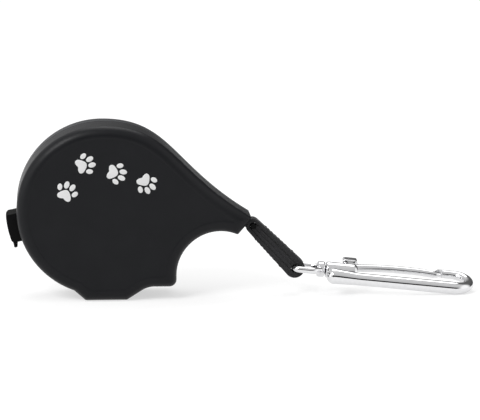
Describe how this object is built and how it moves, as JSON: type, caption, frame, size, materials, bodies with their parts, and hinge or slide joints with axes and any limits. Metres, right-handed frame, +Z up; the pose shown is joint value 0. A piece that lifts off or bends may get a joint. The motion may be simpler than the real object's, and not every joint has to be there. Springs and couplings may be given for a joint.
{
  "type": "retractable leash",
  "caption": "Palm-size retractable cord leash: round spring-reel case with finger notch and thumb brake, short webbing strap and chrome swivel trigger snap.",
  "frame": {"origin": "on the ground under the reel axis, in the middle of the case's depth, on the flat foot", "axes": "+X from the reel towards the snap, +Y from the front shell towards the rear shell, +Z up"},
  "size_m": [0.1884, 0.026, 0.07],
  "materials": {
    "case": "fine satin moulded black",
    "button": "matte black, ribbed",
    "guide": "smooth black",
    "webbing": "woven black webbing with stitching",
    "cord": "braided black cord",
    "chrome": "bright plated zinc",
    "steel": "plain steel",
    "reel": "natural moulded plastic",
    "cover": "black moulded plastic"
  },
  "bodies": {
    "case": {"front_shell": "case", "rear_shell": "case", "case_screw_1": "steel", "case_screw_2": "steel", "case_screw_3": "steel", "reel_axle": "steel", "mouth_guide": "guide", "cord": "cord", "brake_spring": "steel"},
    "reel": {"reel": "reel", "spring_cover": "cover", "main_spring": "steel", "cord_core": "cord"},
    "button": {"brake_button": "button"},
    "leash_end": {"cord_stop": "guide"},
    "strap": {"strap": "webbing"},
    "eye": {"swivel_eye": "chrome"},
    "hook": {"hook_body": "chrome", "gate_pin": "chrome", "gate_spring": "steel"},
    "gate": {"hook_gate": "chrome"}
  },
  "joints": [
    {"name": "leash_pull", "type": "slide", "parent": "case", "child": "leash_end", "axis": [1, 0, 0], "range_m": [0, 3], "stiffness_N_per_m": 1, "springref_m": -2, "deforming": ["cord"]},
    {"name": "reel_spin", "type": "hinge", "parent": "case", "child": "reel", "pos_m": [0, 0, 0.036], "axis": [0, 1, 0], "range_deg": [0, 8640], "deforming": ["main_spring"]},
    {"name": "strap_swing", "type": "hinge", "parent": "leash_end", "child": "strap", "pos_m": [0.06009, 0, 0.02804], "axis": [0, -1, 0], "range_deg": [-30, 70], "stiffness_Nm_per_rad": 0.02},
    {"name": "hook_tilt", "type": "hinge", "parent": "strap", "child": "eye", "pos_m": [0.07699, 0, 0.01072], "axis": [0, -1, 0], "range_deg": [-85, 95]},
    {"name": "hook_swivel", "type": "hinge", "parent": "eye", "child": "hook", "pos_m": [0.07699, 0, 0.01072], "axis": [0.9945, 0, -0.105], "continuous": true},
    {"name": "gate_open", "type": "hinge", "parent": "hook", "child": "gate", "pos_m": [0.09642, 0.00156, 0.009], "axis": [-0.1027, 0.2079, -0.9727], "range_deg": [0, 10], "stiffness_Nm_per_rad": 0.08, "springref_deg": -28.65, "deforming": ["gate_spring"]},
    {"name": "brake_press", "type": "slide", "parent": "case", "child": "button", "axis": [0.9781, 0, 0.2079], "range_m": [0, 0.0023], "stiffness_N_per_m": 600, "springref_m": -0.004, "deforming": ["brake_spring"]}
  ],
  "couplings": [
    {"joint": "reel_spin", "follows": "leash_pull", "rad_per_m": 50.265}
  ]
}
